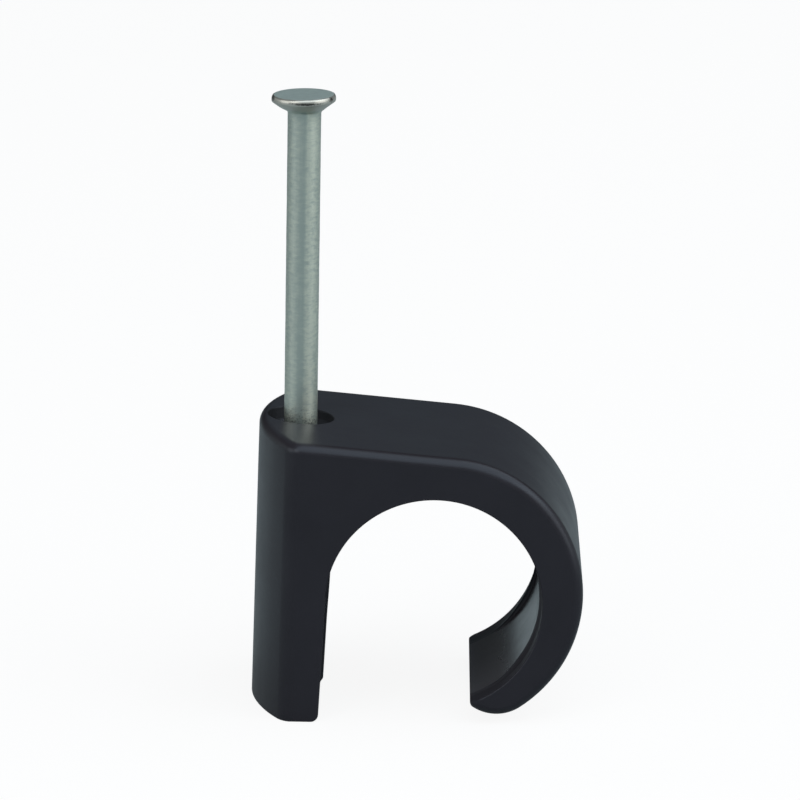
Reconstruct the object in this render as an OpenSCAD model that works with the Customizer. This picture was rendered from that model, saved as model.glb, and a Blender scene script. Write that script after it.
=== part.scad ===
// Nail-in cable clip: a one-piece moulded hook with a loose-fitted steel nail in its boss.
// The nail's axis is Z, the wall face of the foot is z = 0 and the hook points along +X.

/* [Nail] */
// Diameter of the nail's shank
nail_d = 2.0; // [1.6:0.1:2.4]
// Length of the nail, from the flat of its head to its point
nail_l = 35; // [28:1:45]
// Height of the nail's point above the wall face before it is driven
nail_lift = 1.25; // [0.2:0.05:3]
// Length of the nail's four-sided point
point_l = 3.2; // [2:0.1:5]
// Diameter of the nail's head at its rim
head_d = 3.8; // [3.2:0.1:4.4]
// Diameter of the flat on top of the head
head_flat_d = 3.52; // [2.8:0.02:3.6]
// Height of the rounded shoulder between the flat and the rim
head_shoulder = 0.24; // [0.1:0.02:0.5]
// Height of the upright rim of the head
head_rim = 0.14; // [0.05:0.01:0.4]
// Height of the cone under the head
head_cone = 0.67; // [0.4:0.01:1.2]

/* [Hook] */
// Diameter of the cable space inside the hook
cable_d = 12.7; // [10:0.1:16]
// Distance from the nail's axis to the near side of the cable
cable_reach = 1.68; // [1.5:0.02:3]
// Height of the cable's underside above the wall face
cable_lift = 0.94; // [0.7:0.02:1.6]
// Mean wall of the hook
hook_wall = 1.96; // [1.6:0.02:2.6]
// Shift of the hook's outer curve away from the nail, which thickens the bend
hook_shift_x = 0.43; // [0.2:0.01:0.6]
// Shift of the hook's outer curve away from the wall
hook_shift_z = 0.52; // [0.3:0.01:0.7]
// Depth of the clip along the cable
clip_depth = 13.6; // [11:0.1:18]
// Angle below the middle of the hook where its nose begins to turn in
nose_start = 55; // [50:1:58]
// Radius of the curve under the nose
nose_r = 2.5; // [2.3:0.05:3]
// Angle that the curve under the nose sweeps
nose_sweep = 70; // [60:1:74]
// Radius of the nose's blunt end
tip_r = 0.33; // [0.25:0.01:0.5]
// Width of the bevel round both ends of the cable space
cable_bevel = 0.15; // [0.05:0.01:0.3]

/* [Grip pocket] */
// Width of the shallow pocket inside the hook, along the cable
pocket_w = 9; // [6:0.1:12]
// Depth of the pocket at its middle
pocket_depth = 0.2; // [0.1:0.02:0.6]
// Angle of the pocket's middle below the cable's middle
pocket_mid = 20; // [10:1:25]
// Angle that the pocket spans
pocket_span = 70; // [50:1:80]

/* [Boss and foot] */
// Rise of the boss's top, at the nail, over the top of the hook
boss_rise = 0.73; // [0.5:0.01:1.2]
// Wall between the nail's mouth and the outer end of the boss
boss_wall = 0.48; // [0.3:0.02:1]
// Draft of the boss's outer end
boss_draft = 1; // [0:0.1:2]
// Radius of the boss's outer end, seen from above
end_r = 12.5; // [10:0.1:20]
// Radius of the upright corners of the boss
corner_r = 1.2; // [0.8:0.05:2]
// Radius of the rounded edges along the top and round the hook
edge_r = 0.6; // [0.3:0.02:0.75]
// Distance from the nail's axis to the inner side of the foot, at the wall
foot_reach = 1.3; // [1.2:0.02:1.6]
// Radius of the foot's inner edge
foot_r = 0.45; // [0.1:0.05:0.6]
// Bevel round the foot's other edges
foot_bevel = 0.1; // [0.05:0.05:0.4]
// Width of the rib that backs the nail's bore
rib_w = 4; // [2:0.1:6]
// Height of that rib
rib_h = 0.2; // [0.1:0.02:0.4]
// Height of the rib's lower end above the wall face
rib_start = 0.8; // [0.6:0.1:3]
// Length of the ramp at the rib's lower end
rib_ramp = 0.8; // [0.3:0.1:2]

/* [Fits] */
// Radial clearance of the nail's shank in its bore
shank_gap = 0.03; // [0.02:0.01:0.08]
// Radial clearance of the nail's head in its mouth
head_gap = 0.06; // [0.03:0.01:0.15]
// Depth of the driven head's flat below the top of the boss
head_sink = 0.2; // [0.1:0.05:0.6]
// Gap left under the driven head
seat_gap = 0.05; // [0.03:0.01:0.1]

/* [Hidden] */
$fn = 96;
side_steps = 8;
edge_steps = 6;
bend_steps = 32;
nose_steps = 12;
tip_steps = 4;
foot_steps = 5;
hollow_steps = 16;
over = 1;

// The moulding is drawn a little too deep and its two sides are then cut flat
side_trim = 0.01;
half = clip_depth / 2;
rough_half = half + side_trim;
cable_r = cable_d / 2;
cable_x = cable_reach + cable_r;
cable_z = cable_lift + cable_r;
hook_r = cable_r + hook_wall;
hook_x = cable_x + hook_shift_x;
hook_z = cable_z + hook_shift_z;
boss_h = hook_z + hook_r + boss_rise;
bore_r = nail_d / 2 + shank_gap;
mouth_r = head_d / 2 + head_gap;
boss_reach = mouth_r + boss_wall;

// The top is a line from the boss that runs tangent onto the hook's outer curve
top_span = norm([hook_x, boss_h - hook_z]);
top_slope = atan2(boss_h - hook_z, hook_x) - asin(hook_r / top_span);

// The leg's inner side is a line from the foot that just cuts into the cable space
leg_bite = 0.04;
leg_span = norm([cable_x - foot_reach, cable_z]);
leg_angle = atan2(cable_z, cable_x - foot_reach) + asin((cable_r - leg_bite) / leg_span);
leg_l = sqrt(leg_span ^ 2 - (cable_r - leg_bite) ^ 2);
leg_dir = [cos(leg_angle), sin(leg_angle)];
leg_out = [sin(leg_angle), -cos(leg_angle)];
foot = [foot_reach, 0];

// The nose's curve and its blunt end each run tangent onto the curve before
hook_c = [hook_x, hook_z];
nose_c = hook_c + (hook_r - nose_r) * [cos(nose_start), -sin(nose_start)];
tip_turn = nose_start + nose_sweep;
hollow_r = cable_r - over;
tip_least = 0.05;
least_turn = 6;

// The nail before it is driven, and the foot of the seat for its driven head
nail_top = nail_lift + nail_l;
head_h = head_shoulder + head_rim + head_cone;
seat_z = boss_h - head_sink - head_h - seat_gap;

// Outer end of the boss in plan: an arc with a rounded corner at each side
corner_y = rough_half - corner_r;
end_x = end_r - boss_reach;
corner_turn = asin(corner_y / (end_r - corner_r));
corner_x = end_x - (end_r - corner_r) * cos(corner_turn);

// Where that end stands at a distance from the middle, drawn in by inset
function end_at(off, inset) =
    off < (end_r - inset) * sin(corner_turn)
        ? end_x - sqrt((end_r - inset) ^ 2 - off ^ 2)
        : corner_x - sqrt(max(0, (corner_r - inset) ^ 2 - (off - corner_y) ^ 2));

function lean(z) = (z - boss_h) * tan(boss_draft);

function arc(centre, radius, from, to, steps, first = 0) =
    [for (i = [first : steps]) let (a = from + (to - from) * i / steps)
        centre + radius * [cos(a), sin(a)]];

// Boss's end from the wall up and round its top edge, as far as the turn given
function end_line(off, turn, base) = concat(
    [[end_at(off, 0) + lean(0) + foot_bevel, base], [end_at(off, 0) + lean(foot_bevel), foot_bevel]],
    [for (i = [0 : edge_steps]) let (
        a = turn * i / edge_steps,
        x = end_at(off, edge_r * (1 - cos(a))),
        drop = edge_r * (1 - sin(a)))
            [x, boss_h - x * tan(top_slope) - drop / cos(top_slope)]]);

// Outer side of the hook to the end of its nose, drawn in by sink
function hook_line(sink) =
    let (
        blunt = max(tip_r - sink, tip_least),
        tip_c = nose_c + (nose_r - sink - blunt) * [cos(tip_turn), -sin(tip_turn)])
            concat(
                arc(hook_c, hook_r - sink, 90 - top_slope, -nose_start, bend_steps),
                arc(nose_c, nose_r - sink, -nose_start, -tip_turn, nose_steps, 1),
                arc(tip_c, blunt, -tip_turn, -180, tip_steps, 1),
                [[tip_c.x - blunt, cable_z - hollow_r]]);

// Rough arc inside the cable space, which is cut true later
hollow_line = arc([cable_x, cable_z], hollow_r, -60, 180, hollow_steps);

// Inner side of the leg, set back by the bevel, down to the foot's rounded edge at base
function leg_line(base, bevel) =
    let (
        start = foot - bevel * leg_out,
        round_c = start + base / leg_dir.y * leg_dir + foot_r * [-tan(leg_angle / 2), 1])
            concat([start + leg_l * leg_dir], arc(round_c, foot_r, leg_angle - 90, -90, foot_steps));

// Outline of the clip at a distance y from its middle, with the side edges rounded
function outline(y) =
    let (
        margin = max(rough_half - abs(y), edge_r * (1 - cos(least_turn))),
        turn = margin >= edge_r ? 90 : acos(1 - margin / edge_r),
        base = max(0, foot_bevel - margin))
            [for (p = concat(
                end_line(rough_half - margin, turn, base),
                hook_line(edge_r * (1 - sin(turn))),
                hollow_line,
                leg_line(base, max(0, cable_bevel - margin))))
                    [p.x, y, p.y]];

// Places of the outlines: closer towards the corners and round the side edges
side_places = concat(
    [-half - over],
    [for (i = [0 : edge_steps - 1]) edge_r * (1 - cos(90 * i / edge_steps)) - rough_half],
    [for (i = [-side_steps : side_steps]) (rough_half - edge_r) * sin(90 * i / side_steps)],
    [for (i = [edge_steps - 1 : -1 : 0]) rough_half - edge_r * (1 - cos(90 * i / edge_steps))],
    [half + over]);

// Solid lofted through rings that all have as many points, from the front to the back
module loft(rings) {
    n = len(rings[0]);
    back = len(rings) - 1;
    points = [for (ring = rings) for (p = ring) p];
    sides = [for (k = [0 : back - 1]) for (i = [0 : n - 1]) let (j = (i + 1) % n)
        each [[k * n + i, (k + 1) * n + i, (k + 1) * n + j],
              [k * n + i, (k + 1) * n + j, k * n + j]]];
    front_face = [for (i = [0 : n - 1]) i];
    back_face = [for (i = [n - 1 : -1 : 0]) back * n + i];
    polyhedron(points, concat([front_face], sides, [back_face]));
}

// Space for the cable, with a bevel at each end
module cable_space() {
    translate([cable_x, 0, cable_z]) rotate([90, 0, 0]) {
        cylinder(h = clip_depth + 2 * over, r = cable_r, center = true);
        for (side = [0, 1]) mirror([0, 0, side]) translate([0, 0, half - cable_bevel])
            cylinder(h = cable_bevel + over, r1 = cable_r, r2 = cable_r + cable_bevel + over);
    }
}

// Crescent pocket inside the hook, through its two ends and its deepest point
module grip_pocket() {
    chord = cable_r * sin(pocket_span / 2);
    rise = cable_r * (1 - cos(pocket_span / 2)) + pocket_depth;
    pocket_r = (chord ^ 2 + rise ^ 2) / (2 * rise);
    centre = [cable_x, cable_z]
        + (cable_r + pocket_depth - pocket_r) * [cos(pocket_mid), -sin(pocket_mid)];
    translate([centre.x, 0, centre.y]) rotate([90, 0, 0])
        cylinder(h = pocket_w, r = pocket_r, center = true);
}

// Bore for the shank, and the mouth that takes the driven head
module nail_way() {
    translate([0, 0, -over]) cylinder(h = boss_h + over, r = bore_r);
    translate([0, 0, seat_z]) cylinder(h = head_cone, r1 = bore_r, r2 = mouth_r);
    translate([0, 0, seat_z + head_cone]) cylinder(h = head_h + over, r = mouth_r);
}

// Low rib on the leg's inner side, which thickens the wall beside the bore
module bore_rib() {
    rib_end = leg_l + cable_r / 2;
    rib_line = [
        [rib_start - rib_ramp, -rib_h],
        [rib_start + rib_ramp, rib_h],
        [rib_end, rib_h],
        [rib_end, -rib_h]];
    rotate([90, 0, 0]) linear_extrude(rib_w, center = true)
        polygon([for (p = rib_line) foot + p.x * leg_dir + p.y * leg_out]);
}

module clip_body() {
    color("#26272b") difference() {
        union() {
            intersection() {
                loft([for (y = side_places) outline(y)]);
                cube([2 * nail_top, clip_depth, 2 * nail_top], center = true);
            }
            bore_rib();
        }
        cable_space();
        grip_pocket();
        nail_way();
    }
}

// Head, shank and point, with the flat of the head at the origin
module nail_blank() {
    shank = nail_d / 2;
    rotate_extrude() polygon([
        [0, 0],
        [head_flat_d / 2, 0],
        [head_d / 2, -head_shoulder],
        [head_d / 2, -head_shoulder - head_rim],
        [shank, -head_h],
        [shank, -nail_l],
        [0, -nail_l]]);
}

// One flat of the point, as the space beyond it
module point_flat() {
    slant = atan2(nail_d / 2, point_l);
    translate([0, 0, -nail_l]) rotate([0, slant, 0])
        translate([0, -nail_d, -nail_d]) cube([2 * nail_d, 2 * nail_d, 2 * point_l + 2 * nail_d]);
}

module nail() {
    color("#9da199") translate([0, 0, nail_top]) difference() {
        nail_blank();
        for (turn = [45 : 90 : 315]) rotate(turn) point_flat();
    }
}

clip_body();
nail();
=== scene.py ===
import bpy
import bmesh
import math
from mathutils import Matrix, Vector


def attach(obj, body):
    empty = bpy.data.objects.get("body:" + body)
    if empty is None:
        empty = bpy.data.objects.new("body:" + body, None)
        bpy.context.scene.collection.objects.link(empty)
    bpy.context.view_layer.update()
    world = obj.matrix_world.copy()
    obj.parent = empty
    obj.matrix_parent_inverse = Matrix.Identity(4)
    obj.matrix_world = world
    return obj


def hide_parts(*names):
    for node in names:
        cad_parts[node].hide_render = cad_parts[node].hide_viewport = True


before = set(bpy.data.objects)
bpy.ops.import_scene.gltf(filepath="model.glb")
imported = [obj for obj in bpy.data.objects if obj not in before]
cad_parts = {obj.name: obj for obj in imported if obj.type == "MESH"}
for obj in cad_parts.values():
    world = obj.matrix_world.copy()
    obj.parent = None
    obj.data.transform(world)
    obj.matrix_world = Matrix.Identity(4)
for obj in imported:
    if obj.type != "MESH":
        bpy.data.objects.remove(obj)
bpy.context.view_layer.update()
mm = 0.001
white = (1.0, 1.0, 1.0)


def setStops(band, stops):    # places and grey shades of a colour ramp
    while len(band.elements) < len(stops):
        band.elements.new(0.5)
    for stop, (place, shade) in zip(band.elements, stops):
        stop.position = place
        stop.color = (shade, shade, shade, 1)


# a node's socket that can be used in sums
class Wire:
    def __init__(self, tree, socket=None):
        self.tree = tree
        self.socket = socket

    def add(self, kind, settings=None, inputs=None, out=0):    # any node, by its type
        node = self.tree.nodes.new(kind)
        for name, value in (settings or {}).items():
            if name == "stops":
                setStops(node.color_ramp, value)
            else:
                setattr(node, name, value)
        for key, value in (inputs or {}).items():
            if isinstance(value, Wire):
                self.tree.links.new(value.socket, node.inputs[key])
            else:
                node.inputs[key].default_value = value
        return Wire(self.tree, node.outputs[out])

    def combine(self, operation, a, b):
        return self.add("ShaderNodeMath", {"operation": operation}, {0: a, 1: b})

    def __add__(self, other):
        return self.combine("ADD", self, other)

    def __radd__(self, other):
        return self.combine("ADD", other, self)

    def __sub__(self, other):
        return self.combine("SUBTRACT", self, other)

    def __rsub__(self, other):
        return self.combine("SUBTRACT", other, self)

    def __mul__(self, other):
        return self.combine("MULTIPLY", self, other)

    def __rmul__(self, other):
        return self.combine("MULTIPLY", other, self)


def newFinish(name, rgb):
    finish = bpy.data.materials.new(name)
    finish.use_nodes = True
    finish.diffuse_color = (*rgb, 1)
    tree = finish.node_tree
    return finish, tree, tree.nodes["Principled BSDF"]


def feed(shader, name, wire):
    wire.tree.links.new(wire.socket, shader.inputs[name])


def inMillimetres(tree, stretch=(1, 1, 1)):    # place on the piece, in mm times stretch
    place = Wire(tree).add("ShaderNodeTexCoord", out="Object")
    scale = [s / mm for s in stretch]
    return place.add("ShaderNodeMapping", inputs={"Vector": place, "Scale": scale})


def axis(place, letter):
    return place.add("ShaderNodeSeparateXYZ", inputs={"Vector": place}, out=letter)


def distance(place, stretch, point):    # to a point, with each axis stretched, or left out at 0
    spread = place.add("ShaderNodeVectorMath", {"operation": "MULTIPLY"}, {0: place, 1: stretch})
    at = [p * s for p, s in zip(point, stretch)]
    return spread.add("ShaderNodeVectorMath", {"operation": "DISTANCE"}, {0: spread, 1: at}, out="Value")


def mask(wire, at, offsets, kind="LINEAR"):    # 0 at the first offset from a value, 1 at the second
    start, full = (at + d for d in offsets)
    return wire.add("ShaderNodeMapRange", {"clamp": True, "interpolation_type": kind}, {
        "Value": wire, "From Min": start, "From Max": full})


def noise(place, scale, detail, roughness):
    return place.add("ShaderNodeTexNoise", inputs={
        "Vector": place, "Scale": scale, "Detail": detail, "Roughness": roughness})


def ramp(wire, *stops):
    return wire.add("ShaderNodeValToRGB", {"stops": stops}, {"Fac": wire})


def asColour(value):
    return (*value, 1) if isinstance(value, tuple) else value


def blendColour(factor, a, b):
    return factor.add("ShaderNodeMix", {"data_type": "RGBA"}, {
        "Factor": factor, 6: asColour(a), 7: asColour(b)}, out=2)


def bump(height, strength, depth):
    return height.add("ShaderNodeBump", inputs={
        "Height": height, "Strength": strength, "Distance": depth}, out="Normal")


# points and curves, in mm
def between(p, q, t):
    return tuple(a + (b - a) * t for a, b in zip(p, q))


def spaced(start, end, steps):    # even steps, without the start
    return [start + (end - start) * i / steps for i in range(1, steps + 1)]


def polar(centre, radius, degrees):
    a = math.radians(degrees)
    return (centre[0] + radius * math.cos(a), centre[1] + radius * math.sin(a))


def sweep(centre, radius, start, end, steps):
    return [polar(centre, radius, a) for a in [start] + spaced(start, end, steps)]


def resample(path, count):    # points at even lengths along a path
    lengths = [0.0]
    for p, q in zip(path, path[1:]):
        lengths.append(lengths[-1] + math.dist(p, q))
    picked = []
    k = 0
    for i in range(count):
        want = lengths[-1] * i / (count - 1)
        while k < len(path) - 2 and lengths[k + 1] < want:
            k += 1
        t = (want - lengths[k]) / max(lengths[k + 1] - lengths[k], 1e-9)
        picked.append(between(path[k], path[k + 1], t))
    return picked


def soften(value, low, high):    # 0 below low, 1 above high, eased between
    t = min(1, max(0, (value - low) / (high - low)))
    return t * t * (3 - 2 * t)


def roundIn(radius, margin):    # how far a rounded edge draws in, this far from the side
    return 0 if margin >= radius else radius - math.sqrt(radius ** 2 - (radius - margin) ** 2)


# meshes
def asPiece(mesh, name):
    bmesh.ops.recalc_face_normals(mesh, faces=mesh.faces)
    data = bpy.data.meshes.new(name)
    mesh.to_mesh(data)
    mesh.free()
    piece = bpy.data.objects.new(name, data)
    bpy.context.scene.collection.objects.link(piece)
    return piece


def skin(mesh, rows):    # faces between each closed row of points and the next
    for low, high in zip(rows, rows[1:]):
        for i in range(len(low)):
            j = (i + 1) % len(low)
            mesh.faces.new((low[i], low[j], high[j], high[i]))


def lathe(rings, segments, name):    # rings of (radius or function of angle, height or function of x)
    mesh = bmesh.new()
    rows = []
    for radius, height in rings:
        row = []
        for i in range(segments):
            a = 2 * math.pi * i / segments
            r = radius(a) if callable(radius) else radius
            x, y = r * math.cos(a), r * math.sin(a)
            z = height(x) if callable(height) else height
            row.append(mesh.verts.new((x * mm, y * mm, z * mm)))
        rows.append(row)
    skin(mesh, rows)
    mesh.faces.new(list(reversed(rows[0])))
    mesh.faces.new(rows[-1])
    return asPiece(mesh, name)


def smoothBy(piece, degrees):    # smooth faces, with edges sharper than this left crisp
    mesh = bmesh.new()
    mesh.from_mesh(piece.data)
    limit = math.radians(degrees)
    for face in mesh.faces:
        face.smooth = True
    for edge in mesh.edges:
        edge.smooth = len(edge.link_faces) == 2 and edge.calc_face_angle(0) < limit
    mesh.to_mesh(piece.data)
    mesh.free()
    weigh = piece.modifiers.new("evenNormals", "WEIGHTED_NORMAL")
    weigh.keep_sharp = True
    weigh.weight = 80


# clip body, drawn again on the CAD sizes with finer curves and softened edges, in mm and degrees
clip = {
    "nailD": 2.0, "headD": 3.8, "headHeight": 1.05, "headCone": 0.67,    # nail that it takes
    "shankGap": 0.03, "headGap": 0.06, "headSink": 0.2, "seatGap": 0.05,
    "boreFlare": 0.06, "seatSoft": 0.05, "seatStep": 0.03, "seatLip": 0.02, "rimRound": 0.06,
    "cutBelow": 0.5, "cutAbove": 0.4, "cutLean": 0.02,    # how the nail's cut runs on past the clip
    "cableR": 6.35, "cableX": 8.03, "cableZ": 7.29, "innerBevel": 0.09,
    "hookR": 8.305, "hookX": 8.46, "hookZ": 7.81,
    "noseStart": 55, "noseR": 2.5, "noseSweep": 68.4,
    "tipR": 0.33, "tipLeast": 0.05, "tipCorner": 0.22, "tipStep": 0.05,
    "half": 6.8, "edgeR": 0.6, "cornerR": 1.2, "endR": 12.5, "endReach": 2.439,
    "bossHeight": 16.85, "draft": 1.0,
    "footReach": 1.34, "footR": 0.45, "footBevel": 0.05, "footClear": 0.02,
    "ribHalf": 2.0, "ribHeight": 0.16, "ribStart": 0.93, "ribRamp": 0.36,
    "ribEase": 0.18, "ribFade": 3.0, "ribRun": 28.648,
    "pocketHalf": 5.0, "pocketDepth": 0.08, "pocketMid": 20, "pocketSpan": 70,
    "ridgeHeight": 0.15, "ridgeGap": 0.2, "ridgeEnd": 5.75,
    "ridgeHigh": 32, "ridgeFadeIn": 22, "ridgeFadeOut": 25,
    "sideSoft": 0.05, "least": 0.004, "crisp": 32,
    "endLevels": (0.5, 3, 6, 9, 12, 14.5),    # where points are put along the straight stretches
    "topShares": (0.06, 0.3, 0.55, 0.8, 0.94),
    "legShares": (0.94, 0.86, 0.76, 0.66, 0.55, 0.44, 0.33, 0.24),
    "ribShares": (1.3, 1.05, 0.85, 0.65, 0.5, 0.35, 0.15, -0.05, -0.3),
    "soleShares": (0.1, 0.5, 0.9),
    "edgeSteps": 10, "bendSteps": 56, "noseSteps": 60, "tipSteps": 20,    # and along the curves
    "faceSteps": 29, "noseCount": 44, "seatSteps": (6, 28, 56), "footSteps": 6, "boreSegments": 128,
}


def topSlope(c):    # fall of the top towards the hook, in radians
    rise = c["bossHeight"] - c["hookZ"]
    span = math.hypot(c["hookX"], rise)
    return math.atan2(rise, c["hookX"]) - math.asin(c["hookR"] / span)


def legLine(c):    # lean of the leg's inner side, in radians, and its length up to the cable's arc
    span = math.hypot(c["cableX"] - c["footReach"], c["cableZ"])
    lean = math.atan2(c["cableZ"], c["cableX"] - c["footReach"]) + math.asin(c["cableR"] / span)
    return lean, math.sqrt(span ** 2 - c["cableR"] ** 2)


def endAt(c, off, inset):    # x of the boss's outer end, this far off the middle and in from its face
    cornerY = c["half"] - c["cornerR"]
    endX = c["endR"] - c["endReach"]
    turn = math.asin(cornerY / (c["endR"] - c["cornerR"]))
    cornerX = endX - (c["endR"] - c["cornerR"]) * math.cos(turn)
    if off < (c["endR"] - inset) * math.sin(turn):
        return endX - math.sqrt((c["endR"] - inset) ** 2 - off ** 2)
    return cornerX - math.sqrt(max(0, (c["cornerR"] - inset) ** 2 - (off - cornerY) ** 2))


def pocketRadius(c, degrees):    # distance from the cable's middle to the pocket's floor
    halfSpan = math.radians(c["pocketSpan"] / 2)
    chord = c["cableR"] * math.sin(halfSpan)
    rise = c["cableR"] * (1 - math.cos(halfSpan)) + c["pocketDepth"]
    radius = (chord ** 2 + rise ** 2) / (2 * rise)
    shift = c["cableR"] + c["pocketDepth"] - radius
    a = math.radians(degrees + c["pocketMid"])
    return shift * math.cos(a) + math.sqrt(radius ** 2 - (shift * math.sin(a)) ** 2)


def within(c, y, half):    # 1 inside a band along the cable, 0 outside it
    return 1 - soften(abs(y), half - c["sideSoft"], half + c["sideSoft"])


def bossEnd(c, margin, turn, base):    # up from the wall and over the top edge
    off = c["half"] - margin
    slope = topSlope(c)
    drop = math.tan(math.radians(c["draft"]))
    end = endAt(c, off, 0)
    points = [(end - c["bossHeight"] * drop + c["footBevel"], base)]
    for z in (c["footBevel"], *c["endLevels"]):
        points.append((end + (z - c["bossHeight"]) * drop, z))
    for i in range(c["edgeSteps"] + 1):
        a = math.radians(turn * i / c["edgeSteps"])
        x = endAt(c, off, c["edgeR"] * (1 - math.cos(a)))
        fall = c["edgeR"] * (1 - math.sin(a)) / math.cos(slope)
        points.append((x, c["bossHeight"] - x * math.tan(slope) - fall))
    return points


def noseEnd(c, margin, sink, inner):    # under the nose and up its blunt end, to the cable space
    cable = (c["cableX"], c["cableZ"])
    nose = polar((c["hookX"], c["hookZ"]), c["hookR"] - c["noseR"], -c["noseStart"])
    tipTurn = c["noseStart"] + c["noseSweep"]
    blunt = max(c["tipR"] - sink, c["tipLeast"])
    tip = polar(nose, c["noseR"] - sink - blunt, -tipTurn)
    path = sweep(nose, c["noseR"] - sink, -c["noseStart"], -tipTurn, c["noseSteps"])
    path += sweep(tip, blunt, -tipTurn, -180, c["tipSteps"])[1:]
    path += [(tip[0] - blunt, tip[1] + c["tipStep"] * k) for k in range(1, c["faceSteps"] + 1)]
    face = tip[0] - blunt + roundIn(c["tipCorner"], margin)    # drawn in at its upright corners
    path = [(max(x, face), z) for x, z in path]
    stop = next(i for i, p in enumerate(path) if math.dist(p, cable) < inner)
    outside, inside = path[stop - 1], path[stop]
    gap = math.dist(outside, cable)
    t = (gap - inner) / (gap - math.dist(inside, cable))
    return path[:stop] + [between(outside, inside, t)]


def cableArc(c, y, tip, inner):    # back round the cable space, with the pocket between its ridges
    cable = (c["cableX"], c["cableZ"])
    first = math.degrees(math.atan2(tip[1] - cable[1], tip[0] - cable[0]))
    last = math.degrees(legLine(c)[0]) + 90
    low = -c["pocketMid"] - c["pocketSpan"] / 2
    high = low + c["pocketSpan"]
    turns = []
    for start, end, steps in zip((first, low, high), (low, high, last), c["seatSteps"]):
        turns += spaced(start, end, steps)
    inPocket = within(c, y, c["pocketHalf"])
    onRib = within(c, y, c["ribHalf"])
    onRidge = (1 - inPocket) * (1 - soften(abs(y), c["pocketHalf"] + c["ridgeGap"], c["ridgeEnd"]))
    points = []
    for a in turns:
        radius = inner
        if low < a < high:
            radius += inPocket * max(0, pocketRadius(c, a) - c["cableR"])
        if low < a < c["ridgeHigh"]:
            fade = soften(a, low, low + c["ridgeFadeIn"])
            fade *= 1 - soften(a, c["ridgeHigh"] - c["ridgeFadeOut"], c["ridgeHigh"])
            radius -= fade * onRidge * c["ridgeHeight"]
        if last - a < c["ribRun"]:    # top of the leg's rib, which runs out along the arc
            rise = c["ribHeight"] - c["cableR"] * (1 - math.cos(math.radians(last - a)))
            radius -= onRib * (rise + math.hypot(rise, c["ribEase"])) / 2
        points.append(polar(cable, radius, a))
    return points


def legAndFoot(c, y, base, bevel):    # down the leg, over its rib, and round the foot
    lean, length = legLine(c)
    along = (math.cos(lean), math.sin(lean))
    out = (along[1], -along[0])
    foot = (c["footReach"] - bevel * out[0], -bevel * out[1])
    onRib = within(c, y, c["ribHalf"])
    ease = (math.hypot(c["ribHeight"], c["ribEase"]) - c["ribHeight"]) / 2
    lowest = base + c["footR"] + c["footClear"]
    steps = [length * t for t in c["legShares"]]
    steps += [c["ribStart"] + c["ribRamp"] * t for t in c["ribShares"]]
    points = []
    for s in steps:
        rise = c["ribHeight"] * soften(s, c["ribStart"], c["ribStart"] + c["ribRamp"])
        rise = onRib * (rise + ease * soften(s, length - c["ribFade"], length))
        s = max(s, lowest)
        points.append((foot[0] + s * along[0] + rise * out[0], foot[1] + s * along[1] + rise * out[1]))
    heelX = foot[0] + base / along[1] * along[0] - c["footR"] * math.tan(lean / 2)
    heel = (heelX, foot[1] + base + c["footR"])
    return points + sweep(heel, c["footR"], math.degrees(lean) - 90, -90, c["footSteps"])


def clipOutline(c, y):    # closed outline of the moulding at one place along the cable
    margin = max(c["half"] - abs(y), c["least"])
    edge = c["edgeR"]
    turn = 90 if margin >= edge else math.degrees(math.acos(1 - margin / edge))
    sink = edge * (1 - math.sin(math.radians(turn)))
    base = max(0, c["footBevel"] - margin)
    bevel = roundIn(c["innerBevel"], margin)
    inner = c["cableR"] + bevel
    ring = bossEnd(c, margin, turn, base)
    topTurn = 90 - math.degrees(topSlope(c))
    bend = sweep((c["hookX"], c["hookZ"]), c["hookR"] - sink, topTurn, -c["noseStart"], c["bendSteps"])
    last = ring[-1]
    ring += [between(last, bend[0], t) for t in c["topShares"]] + bend
    nose = noseEnd(c, margin, sink, inner)
    ring += resample(nose, c["noseCount"])[1:]
    ring += cableArc(c, y, nose[-1], inner)
    ring += legAndFoot(c, y, base, bevel)
    first, last = ring[0], ring[-1]
    return ring + [(last[0] + (first[0] - last[0]) * t, base) for t in c["soleShares"]]


def clipPlaces(c):    # places along the cable at which the outline is drawn, close where it steps
    half = [0, 0.6, 1.2]
    half += [c["ribHalf"] + d for d in (-0.3, -0.1, -0.05, -0.02, 0.02, 0.05, 0.1, 0.5, 1.0, 1.6, 2.2)]
    half += [c["pocketHalf"] + d for d in (-0.4, -0.15, -0.06, -0.02, 0.02, 0.06, 0.15, 0.3, 0.45)]
    half += [c["ridgeEnd"] + d for d in (-0.15, 0, 0.2)]
    for a in (90, 80, 70, 60, 51, 42, 34, 27, 20, 14, 9):
        half.append(c["half"] - c["edgeR"] * (1 - math.cos(math.radians(a))))
    half.append(c["half"])
    return [-y for y in reversed(half[1:])] + half


def nailWay(c):    # bore, seat and mouth of the nail, with a softened rim along the sloping top
    slope = math.tan(topSlope(c))
    bore = c["nailD"] / 2 + c["shankGap"]
    mouth = c["headD"] / 2 + c["headGap"]
    seat = c["bossHeight"] - c["headSink"] - c["headHeight"] - c["seatGap"]
    cone = seat + c["headCone"]
    flare = c["boreFlare"]
    rings = [(bore + flare, -c["cutBelow"]), (bore + flare, 0.0), (bore, flare),
             (bore, seat - c["seatSoft"]), (bore + c["seatLip"], seat + c["seatStep"]),
             (mouth - c["seatStep"], cone - c["seatStep"]), (mouth, cone + c["seatSoft"])]
    soft = c["rimRound"]
    for a in (0, 18, 36, 54, 72, 90):
        wide = soft * (1 - math.cos(math.radians(a)))
        deep = soft * (1 - math.sin(math.radians(a)))
        rings.append((mouth + wide, lambda x, d=deep: c["bossHeight"] - x * slope - d))
    rings.append((mouth + soft + c["cutLean"], lambda x: c["bossHeight"] - x * slope + c["cutAbove"]))
    return lathe(rings, c["boreSegments"], "nailWay")


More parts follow.
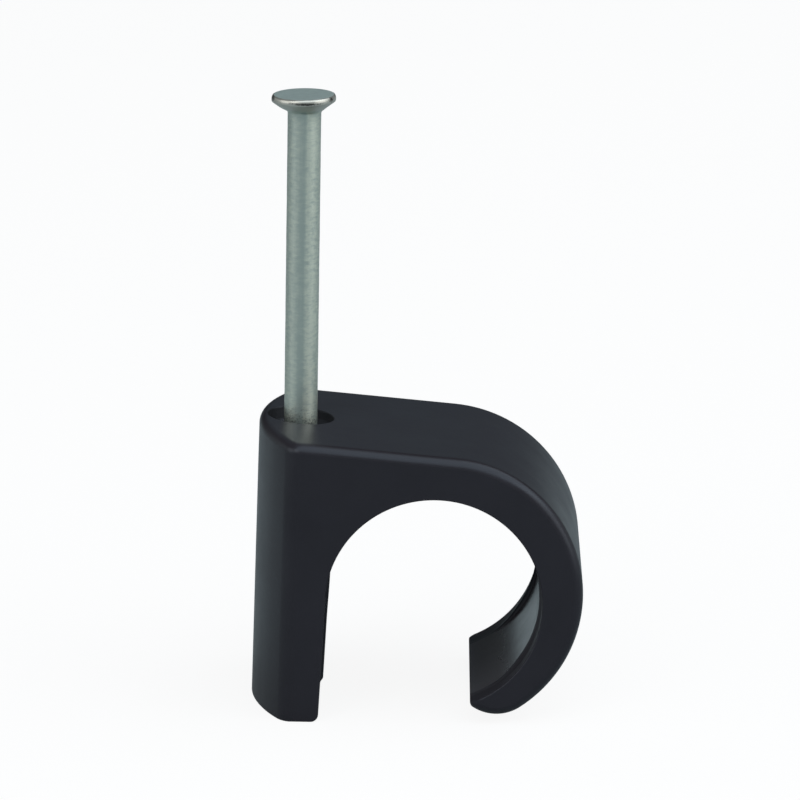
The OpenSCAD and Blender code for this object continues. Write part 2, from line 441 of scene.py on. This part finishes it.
def buildClip(c):
    mesh = bmesh.new()
    rows = []
    for y in clipPlaces(c):
        rows.append([mesh.verts.new((x * mm, y * mm, z * mm)) for x, z in clipOutline(c, y)])
    skin(mesh, rows)
    mesh.faces.new(rows[0])
    mesh.faces.new(list(reversed(rows[-1])))
    piece = asPiece(mesh, "clipMoulding")
    cutter = nailWay(c)
    cut = piece.modifiers.new("nailWay", "BOOLEAN")
    cut.object = cutter
    cut.operation = "DIFFERENCE"
    cut.solver = "EXACT"
    bpy.context.view_layer.update()
    made = bpy.data.meshes.new_from_object(piece.evaluated_get(bpy.context.evaluated_depsgraph_get()))
    piece.modifiers.clear()
    piece.data = made
    bpy.data.objects.remove(cutter)
    smoothBy(piece, c["crisp"])
    return piece


# its plastic, with ranges in mm from the size that each one belongs to
plastic = {
    "colour": (0.0170, 0.0135, 0.0168), "cloud": (0.0198, 0.0162, 0.0202), "inside": (0.025, 0.024, 0.026),
    # the seat colour is painted light inside the nose; the crease colour is painted shade along the ridges
    "paintedSeatLight": (0.060, 0.055, 0.060), "paintedCreaseShade": (0.004, 0.004, 0.006),
    "specular": 0.38, "tint": (0.76, 0.88, 1.0),
    "roughness": 0.33, "roughInside": 0.5, "roughSeat": 0.52, "roughPocket": 0.17,
    "creaseRough": 0.2, "cloudRough": 0.08, "grainRough": 0.06,    # added to the roughness
    "cloudNoise": (0.22, 4, 0.55), "cloudStops": ((0.35, 0), (0.7, 1)),
    "grainNoise": (9.0, 2, 0.5), "grain": 0.03, "grainDepth": 0.02,
    "mouthRange": (0, -0.05), "seatRange": (0.07, 0.03), "nearRange": (0.3, 0.25),
    "pocketRange": (0, -0.06), "hookRange": (0, 0.5), "smoothRange": (3.0, 6.0),
    "lowRange": (1, -2.5), "shadeRange": (0.6, -0.5), "creaseRange": (3.2, 4.2),
    "creaseStops": ((0.498, 0), (0.504, 1), (0.518, 1), (0.526, 0), (0.568, 0), (0.576, 0.9), (0.586, 0)),
}


def plasticFinish(p, c):
    finish, tree, shader = newFinish("blackMoulding", p["colour"])
    place = inMillimetres(tree)
    across, along, upright = (axis(place, letter) for letter in "XYZ")
    along = along.add("ShaderNodeMath", {"operation": "ABSOLUTE"}, {0: along})
    cloud = ramp(noise(place, *p["cloudNoise"]), *p["cloudStops"])
    grain = noise(place, *p["grainNoise"])
    # matt inside of the nail's mouth and bore
    mouth = c["headD"] / 2 + c["headGap"] + c["rimRound"]
    inside = mask(distance(place, (1, 1, 0), (0, 0, 0)), mouth, p["mouthRange"])
    # matt cable seat round the smoother pocket
    spread = distance(place, (1, 0, 1), (c["cableX"], 0, c["cableZ"]))
    seat = mask(spread, c["cableR"], p["seatRange"])
    nearSeat = mask(spread, c["cableR"], p["nearRange"])
    hookSide = mask(across, c["cableX"], p["hookRange"])
    pocket = nearSeat * hookSide * mask(along, c["pocketHalf"], p["pocketRange"])
    smooth = pocket * mask(across, c["cableX"], p["smoothRange"], "SMOOTHSTEP")
    # painted light: the inside of the nose made paler than the plastic
    paintedLight = nearSeat * hookSide * mask(upright, c["cableZ"], p["lowRange"])
    paintedLight = paintedLight * mask(along, c["pocketHalf"], p["shadeRange"])
    # painted shade: dark creases along the ridges' sides
    paintedCreaseShade = nearSeat * mask(across, c["cableX"], p["creaseRange"])
    paintedCreaseShade = paintedCreaseShade * ramp(0.1 * along, *p["creaseStops"])    # stops in cm along the cable
    shade = blendColour(inside, blendColour(cloud, p["colour"], p["cloud"]), p["inside"])
    shade = blendColour(paintedLight, shade, p["paintedSeatLight"])
    feed(shader, "Base Color", blendColour(paintedCreaseShade, shade, p["paintedCreaseShade"]))
    rough = p["roughness"] + (p["roughSeat"] - p["roughness"]) * seat * (1 - pocket)
    rough = rough + (p["roughInside"] - p["roughness"]) * inside
    rough = rough + (p["roughPocket"] - p["roughness"]) * smooth
    rough = rough + p["creaseRough"] * paintedCreaseShade
    rough = rough + p["cloudRough"] * (cloud - 0.5) + p["grainRough"] * (grain - 0.5)
    feed(shader, "Roughness", rough)
    feed(shader, "Normal", bump(grain, p["grain"], p["grainDepth"] * mm))
    shader.inputs["Specular IOR Level"].default_value = p["specular"]
    shader.inputs["Specular Tint"].default_value = (*p["tint"], 1)
    return finish


clipPiece = buildClip(clip)
clipPiece.data.materials.clear()
clipPiece.data.materials.append(plasticFinish(plastic, clip))
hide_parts("clip_body")
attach(clipPiece, "clip")
print("clip moulding:", len(clipPiece.data.polygons), "faces")


# nail, with a worn rim on its head and a faintly wrinkled shank, in mm and degrees
nail = {
    "shankR": 0.985, "length": 35.0, "top": 36.25, "segments": 96, "crisp": 30,
    "flatR": 1.78, "rimR": 1.885, "shoulder": 0.24, "rim": 0.14, "headHeight": 1.05,
    "headLean": 1.2, "headShift": -0.05, "headBlend": 0.4,
    "dish": ((0.02, 0.02), (0.6, 0.015), (1.3, 0.006)),    # radius and depth in the flat of the head
    "flatEdge": (0.12, 0.03), "lip": 0.01, "shoulderSteps": 10,
    "rimRound": ((0, 0.06), (0.012, 0.015), (0.045, -0.02)),    # how far in, and the height
    "coneShares": (0.15, 0.35, 0.55, 0.75, 0.9), "coneEnd": (0.06, 0.06),
    "neckRound": ((0.045, 0.04), (0.015, -0.01), (0, -0.08)),    # how far out, and the height
    "wrinkle": 0.004, "wrinkleTurn": 3.1, "wrinkleBeat": 1.3, "neckClear": 0.5, "shankSteps": 60,
    "pointLength": 3.2, "pointClear": 0.3, "pointBlunt": 0.03, "pointSteps": 24,
}


def headRings(n, neck):    # from the middle of the flat, over the rim and down the cone
    top = n["top"]
    rings = [(radius, top - depth) for radius, depth in n["dish"]]
    rings += [(n["flatR"] - inset, top) for inset in n["flatEdge"]]
    for i in range(1, n["shoulderSteps"] + 1):
        a = math.radians(90 * i / n["shoulderSteps"])
        fall = n["lip"] + (n["shoulder"] - n["lip"]) * (1 - math.cos(a))
        rings.append((n["flatR"] + (n["rimR"] - n["flatR"]) * math.sin(a), top - fall))
    rimEnd = top - n["shoulder"] - n["rim"]
    rings += [(n["rimR"] - inset, rimEnd + up) for inset, up in n["rimRound"]]
    start = rings[-1]
    end = (n["shankR"] + n["coneEnd"][0], neck + n["coneEnd"][1])
    rings += [between(start, end, t) for t in n["coneShares"]]
    return rings + [(n["shankR"] + outset, neck + up) for outset, up in n["neckRound"]]


def shankRings(n, high, low):
    rings = []
    for z in [high] + spaced(high, low, n["shankSteps"]):

        def wavy(a, z=z):
            wave = math.sin(n["wrinkleTurn"] * z + 2 * a) * math.sin(n["wrinkleBeat"] * z)
            return n["shankR"] - n["wrinkle"] + n["wrinkle"] * wave
        rings.append((wavy, z))
    return rings


def pointRings(n, low, tail):    # four flats that meet at the point
    rings = []
    for z in spaced(low, tail + n["pointBlunt"], n["pointSteps"]):

        def foursided(a, flat=n["shankR"] * (z - tail) / n["pointLength"]):
            side = math.radians(math.degrees(a) % 90 - 45)
            return min(n["shankR"] - n["wrinkle"], flat / math.cos(side))
        rings.append((foursided, z))
    return rings


def buildNail(n):
    neck = n["top"] - n["headHeight"]
    tail = n["top"] - n["length"]
    low = tail + n["pointLength"] + n["pointClear"]
    rings = headRings(n, neck) + shankRings(n, neck - n["neckClear"], low) + pointRings(n, low, tail)
    piece = lathe(list(reversed(rings)), n["segments"], "steelNail")
    lean = math.tan(math.radians(n["headLean"]))
    for vertex in piece.data.vertices:    # head set a little askew on the shank
        share = soften(vertex.co.z / mm, neck, neck + n["headBlend"])
        vertex.co.z += share * lean * (vertex.co.x - n["flatR"] * mm)
        vertex.co.x += share * n["headShift"] * mm
    return piece


# its zinc coat, with ranges in mm from the height or radius that each one belongs to
zinc = {
    "dull": (0.45, 0.515, 0.475), "pale": (0.68, 0.72, 0.62), "dark": (0.10, 0.115, 0.115),
    "cap": (0.80, 0.92, 0.86), "bright": (0.56, 0.545, 0.49), "paintedDarkReflection": (0.06, 0.055, 0.05),
    "metallic": 0.85, "roughness": 0.40, "polish": 0.33, "speckRough": 0.16,
    "headRange": (0.12, 0.37), "flatRange": (0.01, -0.04), "topRange": (-0.34, -0.3),
    "collarRange": (17.9, 16.5), "scuffStops": ((0.5, 0), (0.62, 1)), "scuff": 0.8,
    "streakStretch": (1, 1, 0.06), "streakNoise": (2.2, 4, 0.6), "streaks": 0.9,
    "wrinkleStretch": (0.4, 0.4, 1), "wrinkleNoise": (6.0, 4, 0.62), "wrinkles": 2.3, "wrinkleLeast": 0.4,
    "speckNoise": (8.5, 3, 0.7), "speckRelief": 0.35, "relief": 0.5, "reliefDepth": 0.03,
    "headTone": 0.35, "capTone": 0.65, "capSpread": 0.5,
    # painted reflection: bands across the shank, darker down its middle
    "paintedReflectionBands": ((0, 0.42), (0.2, 0.4), (0.34, 0.3), (0.42, 0.05),    # shades across the shank
                (0.53, 0.05), (0.62, 0.85), (0.8, 0.9), (0.95, 0.6)),
    # painted dark reflections on the polished rim
    "paintedDarkReflections": (((0.15, -1.87, 35.975), (0.17, 0.22, 1.9)),    # places on the rim, and stretches
               ((-1.85, -0.45, 36.07), (0.9, 0.4, 0.9)),
               ((1.60, -0.95, 36.13), (0.8, 0.6, 1.0))),
    "darkReflectionStops": ((0.05, 1), (0.2, 0)), "darkReflectionBreak": 0.35,
}


def zincFinish(z, n):
    finish, tree, shader = newFinish("zincCoat", z["dull"])
    place = inMillimetres(tree)
    across = axis(place, "X")
    height = axis(place, "Z")
    streaks = noise(inMillimetres(tree, z["streakStretch"]), *z["streakNoise"])
    wrinkles = noise(inMillimetres(tree, z["wrinkleStretch"]), *z["wrinkleNoise"])
    specks = noise(place, *z["speckNoise"])
    # painted reflection: lighter and darker bands across the shank
    paintedReflectionBands = ramp(0.5 + 0.5 / n["shankR"] * across, *z["paintedReflectionBands"])
    # polished band round the rim of the head
    onHead = mask(height, n["top"] - n["headHeight"], z["headRange"])
    onFlat = mask(distance(place, (1, 1, 0), (n["headShift"], 0, 0)), n["flatR"], z["flatRange"])
    onFlat = onFlat * mask(height, n["top"], z["topRange"])
    polished = onHead * (1 - onFlat)
    # painted dark reflections on the rim
    broken = z["darkReflectionBreak"] * (specks - 0.5)
    spots = [ramp(distance(place, stretch, at) + broken, *z["darkReflectionStops"]) for at, stretch in z["paintedDarkReflections"]]
    darkReflected = sum(spots) * polished
    # scuffed specks where the shank enters the boss
    scuffed = mask(height, 0, z["collarRange"]) * ramp(specks, *z["scuffStops"])
    mottle = z["streaks"] * (streaks - 0.5)
    mottle = mottle + z["wrinkles"] * (wrinkles - 0.5) * (z["wrinkleLeast"] + paintedReflectionBands)
    tone = paintedReflectionBands * (1 - onHead) + z["headTone"] * onHead + mottle
    body = blendColour(ramp(tone, (0, 0), (1, 1)), z["dull"], z["pale"])
    body = blendColour(z["scuff"] * scuffed, body, z["dark"])
    body = blendColour(onFlat * (z["capTone"] + z["capSpread"] * wrinkles), body, z["cap"])
    body = blendColour(polished, body, z["bright"])
    feed(shader, "Base Color", blendColour(darkReflected, body, z["paintedDarkReflection"]))
    rough = (z["roughness"] + z["speckRough"] * (specks - 0.5)) * (1 - polished)
    feed(shader, "Roughness", rough + z["polish"] * polished)
    relief = (wrinkles + z["speckRelief"] * specks) * (1 - polished)
    feed(shader, "Normal", bump(relief, z["relief"], z["reliefDepth"] * mm))
    shader.inputs["Metallic"].default_value = z["metallic"]
    return finish


nailPiece = buildNail(nail)
nailPiece.data.materials.append(zincFinish(zinc, nail))
smoothBy(nailPiece, nail["crisp"])
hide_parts("nail")
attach(nailPiece, "nail")
print("steel nail:", len(nailPiece.data.polygons), "faces")


# pale floor, white to the camera with a faint shadow, and soft lamps, in metres
studio = {
    "floorHalf": 1.5, "floorGrey": (0.28, 0.334, 0.345), "floorRough": 0.9,
    "floorGlow": 0.9, "mirrored": 0.055,
    "worldDark": (0.001, 0.002, 0.004), "worldPale": (0.51, 0.56, 0.57), "rearGlow": (0.128, 0.172, 0.20),
    "paleDepth": ((0, 0.5), (0.4, 0.8), (0.75, 0.8), (0.93, 0.12), (1, 0)),    # front to rear
    "paleHeight": ((0, 1), (0.6, 1), (0.75, 0.25), (1, 0.25)),    # below to above
    "glowStops": ((0.48, 0), (0.6, 0.65), (0.68, 0.85), (0.78, 0.1), (1, 0)),    # low left to high right
    "aim": (0.006, 0, 0.015),
    "lamps": {
        "overheadPanel": {"at": (0.22, -0.16, 0.55), "size": (1.3, 0.7), "watts": 4.6,
                          "tone": (0.84, 0.93, 1.0)},
        "leftPanel": {"at": (-0.55, -0.20, 0.16), "size": (0.4, 0.4), "watts": 0.6, "tone": white},
        "frontPanel": {"at": (-0.28, -0.42, 0.30), "size": (0.25, 0.25), "watts": 0.55, "tone": white},
        "rightPanel": {"at": (0.55, -0.22, 0.26), "size": (0.5, 0.5), "watts": 1.0, "tone": white},
    },
}


def shownRays(tree, mirrored):    # rays that see the white background, mirrored ones in part
    kinds = ("Is Camera Ray", "Is Glossy Ray", "Is Transmission Ray")
    camera, glossy, through = (Wire(tree).add("ShaderNodeLightPath", out=kind) for kind in kinds)
    return camera + mirrored * glossy + through


def floorFinish(s):
    finish, tree, shader = newFinish("paleFloor", white)
    rays = shownRays(tree, s["mirrored"])
    feed(shader, "Base Color", blendColour(rays, s["floorGrey"], white))
    shader.inputs["Roughness"].default_value = s["floorRough"]
    shader.inputs["Specular IOR Level"].default_value = 0.0
    glow = rays.add("ShaderNodeEmission", inputs={"Color": (*white, 1), "Strength": 1.0})
    lit = Wire(tree, shader.outputs["BSDF"])
    both = rays.add("ShaderNodeMixShader", inputs={0: rays * s["floorGlow"], 1: lit, 2: glow})
    feed(tree.nodes["Material Output"], "Surface", both)
    return finish


def buildFloor(s):
    mesh = bmesh.new()
    bmesh.ops.create_grid(mesh, x_segments=2, y_segments=2, size=s["floorHalf"])
    floor = asPiece(mesh, "paleFloor")
    floor.data.materials.append(floorFinish(s))


def lightWorld(s):
    world = bpy.data.worlds.new("studio")
    bpy.context.scene.world = world
    world.use_nodes = True
    tree = world.node_tree
    way = Wire(tree).add("ShaderNodeTexCoord", out="Generated")
    rightward, rearward, upward = (axis(way, letter) for letter in "XYZ")
    pale = ramp(0.5 + 0.5 * rearward, *s["paleDepth"]) * ramp(0.5 + 0.5 * upward, *s["paleHeight"])
    glow = ramp(0.5 + 0.5 * (rightward + upward), *s["glowStops"])
    soft = blendColour(pale, blendColour(glow, s["worldDark"], s["rearGlow"]), s["worldPale"])
    feed(tree.nodes["Background"], "Color", blendColour(shownRays(tree, 0), soft, white))


def hangLamps(s):
    for name, lamp in s["lamps"].items():
        data = bpy.data.lights.new(name, "AREA")
        data.shape = "RECTANGLE"
        data.size, data.size_y = lamp["size"]
        data.energy = lamp["watts"]
        data.color = lamp["tone"]
        panel = bpy.data.objects.new(name, data)
        panel.location = lamp["at"]
        aim = Vector(s["aim"]) - Vector(lamp["at"])
        panel.rotation_euler = aim.to_track_quat("-Z", "Y").to_euler()
        bpy.context.scene.collection.objects.link(panel)


buildFloor(studio)
lightWorld(studio)
hangLamps(studio)
print("studio: floor and", len(studio["lamps"]), "lamps")


# camera where the photograph was taken from, in degrees, metres, pixels and mm of sensor
shot = {
    "azimuth": 0.129, "elevation": 14.63, "roll": 0.948,
    "distance": 0.3487, "target": (0.00585, 0.0, 0.017883),
    "focal": 5901.0, "picture": 800, "sensor": 36.0, "near": 0.01, "far": 10,
}


def placeCamera(s):
    data = bpy.data.cameras.new("shot")
    data.sensor_width = s["sensor"]
    data.lens = s["focal"] * s["sensor"] / s["picture"]
    data.clip_start = s["near"]
    data.clip_end = s["far"]
    a, e, r = (math.radians(s[k]) for k in ("azimuth", "elevation", "roll"))
    back = Vector((math.sin(a) * math.cos(e), -math.cos(a) * math.cos(e), math.sin(e)))
    right = Vector((math.cos(a), math.sin(a), 0))
    up = back.cross(right)
    tiltedRight = math.cos(r) * right + math.sin(r) * up
    tiltedUp = math.cos(r) * up - math.sin(r) * right
    turn = Matrix((tiltedRight, tiltedUp, back)).transposed()
    camera = bpy.data.objects.new("shot", data)
    camera.matrix_world = Matrix.Translation(Vector(s["target"]) + back * s["distance"]) @ turn.to_4x4()
    bpy.context.scene.collection.objects.link(camera)
    bpy.context.scene.camera = camera


placeCamera(shot)
bpy.context.scene.view_settings.view_transform = "Standard"
bpy.context.view_layer.update()
print("camera placed")
